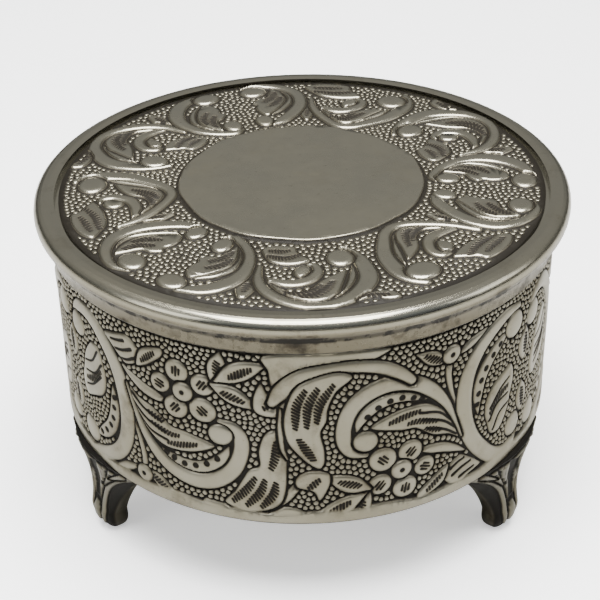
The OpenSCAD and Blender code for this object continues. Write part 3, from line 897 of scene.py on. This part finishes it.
def platePlace(v, relief, angle, radius):
    x = math.degrees(1) * angle - v["start"]
    x = x + v["waver"] * 1.7 * (np.sin(4 * angle + 1.3) + 0.5 * np.sin(9 * angle))
    sway = v["waver"] * (np.sin(5 * angle + 0.2) + 0.6 * np.sin(8 * angle + 2))
    share = np.clip((radius - v["medallion"]) / (plateR - v["medallion"]), 0, 1)
    return x * relief.period / (360 / v["repeats"]), radius + sway * np.sin(math.pi * share)


def plateHeight(v, relief, angle, radius):
    x, y = platePlace(v, relief, angle, radius)
    rise, dark = relief.sample(relief.height, x, y), relief.sample(relief.dark, x, y)
    wave = 0.12 * np.sin(7 * angle) + 0.1 * np.sin(13 * angle + 1)
    inside = np.clip((v["medallion"] + wave - radius) / 0.28, 0, 1)
    disc = 0.60 * np.sqrt(1 - (1 - inside) ** 2)
    groove = np.clip((radius - (plateR - 0.3)) / 0.2, 0, 1)
    rise = np.maximum(rise, disc) * (1 - groove)
    dark = np.maximum(dark * (1 - inside), groove)
    return rise, dark


def makePlate(v):
    relief = Relief(2 * math.pi * v["drawnR"] / v["repeats"], v["medallion"], v["drawnOut"], v["drawnR"])
    relief.scale = relief.period / (360 / v["repeats"])
    relief.ink = v["ink"]
    drawRepeat(relief, drawLidHalf)
    print("lid ornament drawn")
    ringIn, ringOut = v["medallion"] - v["lap"], plateR
    cols = int(2 * math.pi * v["gridR"] / v["cell"])
    rows = int((ringOut - ringIn) / v["cell"])
    piece, i, j = addGrid("lidPlate", cols, rows + 1)
    angle = 2 * math.pi * i / cols
    radius = ringIn + (ringOut - ringIn) * np.clip(j / rows, 0, 1)
    z = lidTop - v["ground"] + plateHeight(v, relief, angle, radius)[0]
    z[j == rows + 1] = plateLow.z
    writeRound(piece, angle, radius, z)
    mergePoints(piece)
    bpy.ops.object.mode_set(mode="OBJECT")
    applyModifier(piece, "DECIMATE", ratio=v["triangles"] / (2 * cols * (rows + 1)))
    # the flat middle and the underside are closed last, so that they stay flat
    bpy.ops.object.mode_set(mode="EDIT")
    selectOpenEdges()
    bpy.ops.mesh.edge_face_add()
    bpy.ops.mesh.inset(thickness=v["inset"] * mm)
    turnFacesOut()
    bpy.ops.object.shade_smooth()
    p = readPoints(piece) / mm
    angle, radius = np.arctan2(p[:, 0], -p[:, 1]), np.hypot(p[:, 0], p[:, 1])
    dark = plateHeight(v, relief, angle, radius)[1]
    dark[p[:, 2] < lidTop - v["ground"] - 0.2] = 0.6
    storeField(piece, "patinaAndShade", dark)
    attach(piece, "lid")
    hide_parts("lid_plate")
    coat(piece, lidSilver)
    print("lid plate made,", len(piece.data.polygons), "faces")
    return relief


def makePlatePebbles(v, relief):
    cell = pebbleGround["cell"]
    count = int(2 * plateR / cell)
    line = (np.arange(count) - count / 2) * cell
    x, y = np.meshgrid(line, line)
    angle, radius = np.arctan2(x, -y), np.hypot(x, y)
    near = relief.sample(relief.near, *platePlace(v, relief, angle, radius))
    near = np.minimum(near, np.minimum(radius - v["medallion"] - 0.2, plateR - 0.7 - radius))
    spots = pebbleSpots(near, cell, v["pebbleClear"], v["pebble"], False)
    spots, owner = settlePebbles(near, spots, cell, pebbleGround["clear"], False)
    angle, reach = pebbleReach(owner, spots, cell, False, pebbleGround["sides"])
    x, y = (spots[:, 0] - count / 2) * cell, (spots[:, 1] - count / 2) * cell
    outs = np.column_stack([0 * x, 0 * x, 0 * x + 1])
    acrosses = np.column_stack([0 * x + 1, 0 * x, 0 * x])
    centres = np.column_stack([x, y, 0 * x + lidTop - v["ground"] + pebbleGround["rise"]])
    piece = pebbleMesh("lidPebbles", centres, outs, acrosses, angle, reach - v["pebbleGap"],
                       v["pebbleRise"], v["pebbleGrime"])
    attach(piece, "lid")
    coat(piece, lidSilver)
    print("lid pebbles made,", len(spots))


drumOrnament = makeWall(wallValues)
makeWallPebbles(wallValues, drumOrnament)
lidOrnament = makePlate(plateValues)
makePlatePebbles(plateValues, lidOrnament)

footValues = {
    "feet": (("foot_front_left", -60), ("foot_front_right", 56), ("foot_back", 180)),
    "halfWidth": 15.0,
    "neck": 4.0,                     # half width above the toe
    "spread": 1.5,
    "toe": 4.5,                      # height of the toe's widest point
    "toeOut": 0.2,                   # how far the toe and the top stand out beyond the wall
    "topOut": 1.4,
    "neckIn": 1.0,
    "soleIn": 1.3,
    "depth": 5.4,
    "round": 3.4,                    # the toe rounds off below this height
    "strip": 33,                     # length and height that the relief is drawn on
    "stripTall": 19,
    # painted shade: how dark the sides and back of each foot are made
    "paintedSideShade": 0.42,
    "grid": (150, 120),
}


def drawFootSide(r):  # one side of a foot: across from its left end, and up
    r.band((18.6, 2.2, 0.7), (18.9, 4.8, 1.3), (19.0, 7.6, 1.3), (20.2, 11.0, 1.3), (22.8, 14.2, 1.4),
           (26.0, 16.8, 1.4), (29.6, 18.6, 1.2), top=0.4, edge=0.6)
    r.band((17.7, 7.4, 0.4), (18.2, 10.6, 0.9), (19.6, 13.6, 1.9), (20.8, 17.0, 2.4), edge=0.7)
    r.band((19.4, 11.6, 0.3), (21.4, 14.0, 1.0), (24.2, 17.2, 2.0), edge=0.7)
    r.band((22.6, 15.2, 0.3), (25.0, 16.8, 0.9), (27.2, 18.2, 1.3), edge=0.5)
    r.knob(22.5, 17.9, 0.6)
    r.knob(18.3, 17.9, 0.55)
    r.stroke((18.7, 11.6), (19.9, 14.6), (20.7, 17.0), width=0.25)
    r.stroke((22.0, 14.8), (24.0, 17.2), width=0.22)


def drawFoot(v):
    relief = Relief(v["strip"], 0, v["stripTall"], v["stripTall"] / 2)
    for flip in (False, True):
        relief.flip = flip
        drawFootSide(relief)
    relief.flip = False
    mid = v["strip"] / 2
    relief.band((mid, 8.2, 0.4), (mid, 11.4, 1.1), (mid, 14.6, 2.0), (mid, 17.6, 2.6), edge=0.8)
    relief.stroke((mid, 11.0), (mid, 17.0), width=0.3)
    relief.band((mid, 6.9, 0.5), (mid, 5.3, 2.1), (mid, 3.8, 2.6), (mid, 2.5, 1.8), edge=0.9, top=0.6)
    return relief


def makeFoot(v, relief, node, angle):
    cols, rows = v["grid"]
    piece, i, j = addGrid(node.title().replace("_", ""), cols, rows)
    share = j / rows
    z = drumFoot * share ** 1.15
    rise = np.clip((z - v["toe"]) / (drumFoot - v["toe"]), 0, 1)
    low = np.clip(1 - z / v["toe"], 0, 1)
    half = np.where(z > v["toe"], v["neck"] + (v["halfWidth"] - v["neck"]) * rise ** v["spread"],
                    v["neck"] * (1 - 0.16 * low ** 1.5))
    ball = np.sqrt(np.clip(1 - np.clip(1 - z / v["round"], 0, 1) ** 2, 0, 1))
    half = half * (0.5 + 0.5 * ball)
    depth = v["depth"] * (0.45 + 0.55 * ball)
    turn = 2 * math.pi * i / cols
    c, s = np.cos(turn), np.sin(turn)
    across = half * np.sign(c) * np.abs(c) ** 0.55
    out = np.sign(s) * np.abs(s) ** 0.6
    front = np.clip(out * 1.6 - 0.35, 0, 1)
    flare = v["topOut"] * (1 - np.clip(np.abs(across) / v["halfWidth"], 0, 1) ** 1.2)
    face = drumR + v["toeOut"] + (flare - v["toeOut"]) * rise ** 2 - v["neckIn"] * np.sin(math.pi * rise)
    tuck = (v["toeOut"] + v["soleIn"]) * (1 - np.sin(math.pi / 2 * z / v["toe"]))
    face = face - np.where(z < v["toe"], tuck, 0) * 0.5
    x = across + relief.period / 2
    lift = relief.sample(relief.height, x, z)
    radius = face - v["depth"] / 2 + out * depth / 2 + (lift - 0.4) * front
    writeRound(piece, math.radians(angle) + across / drumR, radius, z)
    # painted shade: the sides and back take one even darkness, the front its drawn lines
    dark = relief.sample(relief.dark, x, z) * front + v["paintedSideShade"] * (1 - front)
    dark = np.maximum(dark, np.clip(1 - (drumFoot - z) / 0.5, 0, 1))
    storeField(piece, "patinaAndShade", dark)
    mergePoints(piece)
    selectOpenEdges()
    bpy.ops.mesh.edge_face_add()
    turnFacesOut()
    bpy.ops.object.shade_smooth_by_angle(angle=math.radians(50))
    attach(piece, "base")
    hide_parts(node)
    coat(piece, footSilver)


footOrnament = drawFoot(footValues)
for node, angle in footValues["feet"]:
    makeFoot(footValues, footOrnament, node, angle)
print("feet made")

padValues = {
    "cols": 144,
    "rows": 56,
    "gap": 0.12,                     # left free all round
    "crown": 0.16,                   # share of the thickness by which the middle stands above the shoulder
    "pucker": 0.07,                  # height of the small folds at the edge
    "folds": (48, 31),
    "seat": 0.8,                     # share of the rows that go over the top, before the flat seat
    "fill": 0.9,
}


def makePad(v, name, node, body):  # a crowned cushion, flat where it is glued down
    low, high = span(node)
    reach, deep = (high.x - low.x) / 2 - v["gap"], high.z - low.z
    piece, i, j = addGrid(name, v["cols"], v["rows"])
    turn = 2 * math.pi * i / v["cols"]
    share = j / v["rows"]
    over = np.clip(share / v["seat"], 0, 1)
    back = np.clip((share - v["seat"]) / (1 - v["seat"]), 0, 1)
    out = np.where(share < v["seat"], np.sin(math.pi / 2 * over), 1 - back)
    roll = np.sqrt(np.clip(1 - out ** 12, 0, 1))
    crown = 1 - v["crown"] * out ** 2
    many, few = v["folds"]
    pucker = np.sin(many * turn) * 0.6 + np.sin(few * turn + 1.3) * 0.4
    rise = deep * (roll * crown) - v["pucker"] * (1 + pucker) * out ** 6 * roll
    rise = np.where(share < v["seat"], rise, 0)
    radius = reach * out
    z = low.z + rise if body == "base" else high.z - rise
    writePoints(piece, np.column_stack([radius * np.cos(turn), radius * np.sin(turn), z]) * mm)
    mergePoints(piece)
    turnFacesOut()
    bpy.ops.object.shade_smooth_by_angle(angle=math.radians(60))
    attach(piece, body)
    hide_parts(node)
    coat(piece, velvet)
    print(name, "made")


makePad(padValues, "floorPad", "floor_pad", "base")
makePad(padValues, "lidPad", "lid_pad", "lid")


liningValues = {
    "cols": 240,
    "rows": 60,
    "thick": 0.9,
    "ripple": 0.06,
}


def makeLining(v):  # velvet over card, with a soft rolled top
    low, high = span("wall_lining")
    outer, thick = (high.x - low.x) / 2, v["thick"]
    piece, i, j = addGrid("wallLining", v["cols"], v["rows"])
    turn = 2 * math.pi * i / v["cols"]
    share = j / v["rows"]
    # down the outside, over the top and down the inside
    inside = share > 0.5
    down = np.where(inside, (share - 0.5) * 2, 1 - share * 2)
    bend = np.clip(1 - down * 18, 0, 1)
    z = high.z - (high.z - low.z) * down
    roll = 1 - np.sqrt(np.clip(1 - (1 - bend) ** 2, 0, 1))
    z = np.minimum(z, high.z - thick / 2 * roll * (bend > 0))
    soft = v["ripple"] * np.sin(26 * turn + 3 * share) * np.sin(math.pi * down)
    radius = np.where(inside, outer - thick + soft + thick / 2 * bend ** 2, outer - thick / 2 * bend ** 2)
    writePoints(piece, np.column_stack([radius * np.cos(turn), radius * np.sin(turn), z]) * mm)
    mergePoints(piece)
    selectOpenEdges()
    bpy.ops.mesh.bridge_edge_loops()
    turnFacesOut()
    bpy.ops.object.shade_smooth_by_angle(angle=math.radians(50))
    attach(piece, "base")
    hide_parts("wall_lining")
    coat(piece, velvet)
    print("lining made")


makeLining(liningValues)

# the nodes that stay as they are
finishes = {"lid_rim": rimSilver, "foot_screws": brass, "floor_board": card, "lid_board": card}
for name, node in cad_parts.items():
    coat(node, finishes.get(name, plainSilver))

lightValues = {
    "floor": (0.88, 0.88, 0.875, 1),
    "floorGlow": (0.62, 0.62, 0.62, 1),
    "floorInSilver": (0.50, 0.49, 0.46, 1),   # what the silver mirrors
    "sky": (                          # height of the look, colour in front, colour behind
        (0.00, (0.06, 0.06, 0.06, 1), (0.10, 0.10, 0.09, 1)),
        (0.20, (0.11, 0.12, 0.14, 1), (0.22, 0.22, 0.21, 1)),
        (0.42, (0.31, 0.35, 0.41, 1), (0.54, 0.54, 0.53, 1)),
        (0.60, (0.52, 0.57, 0.64, 1), (0.60, 0.60, 0.59, 1)),
        (1.00, (0.66, 0.66, 0.66, 1), (0.66, 0.66, 0.66, 1)),
    ),
    # name: place, size, watts
    "lamps": {
        "overhead": ((0.0, -0.1, 0.8), 0.55, 32.0),
        "left": ((-0.8, -0.5, 0.5), 0.5, 4.0),
        "right": ((0.9, -0.1, 0.55), 0.5, 3.0),
    },
}


def lightSky(stops):
    world = bpy.data.worlds.new("sky")
    bpy.context.scene.world = world
    world.use_nodes = True
    sky = Paint("skyMaths")
    sky.tree, sky.shader = world.node_tree, None
    look = sky.node("ShaderNodeTexCoord", out="Generated")
    up = sky.node("ShaderNodeSeparateXYZ", None, {"Vector": look}, out="Z")
    behind = sky.node("ShaderNodeSeparateXYZ", None, {"Vector": look}, out="Y")
    sides = [sky.node("ShaderNodeValToRGB", {"stops": [(row[0], row[side]) for row in stops]}, {"Fac": up})
             for side in (1, 2)]
    colour = sky.mix(sky.step(behind, -0.35, 0.35), *sides)
    sky.fill(world.node_tree.nodes["Background"].inputs["Color"], colour)
    bpy.data.materials.remove(sky.material)


def lightScene(v):
    bpy.ops.mesh.primitive_plane_add(size=8)
    floor = bpy.context.object
    floor.name = "floor"
    paint = Paint("floorPaint", roughness=0.7, emissionStrength=1.0)
    seen = paint.node("ShaderNodeLightPath", out="Is Camera Ray")
    paint.set("Base Color", paint.mix(seen, v["floorInSilver"], v["floor"]))
    paint.set("Emission Color", paint.mix(seen, (0, 0, 0, 1), v["floorGlow"]))
    coat(floor, paint.material)
    lightSky(v["sky"])
    for name, (place, size, watts) in v["lamps"].items():
        lamp = bpy.data.objects.new(name, bpy.data.lights.new(name, "AREA"))
        bpy.context.scene.collection.objects.link(lamp)
        lamp.data.size, lamp.data.energy = size, watts
        lamp.location = place
        lamp.rotation_euler = (Vector(place) - Vector((0, 0, 0.03))).to_track_quat("Z", "Y").to_euler()


lightScene(lightValues)
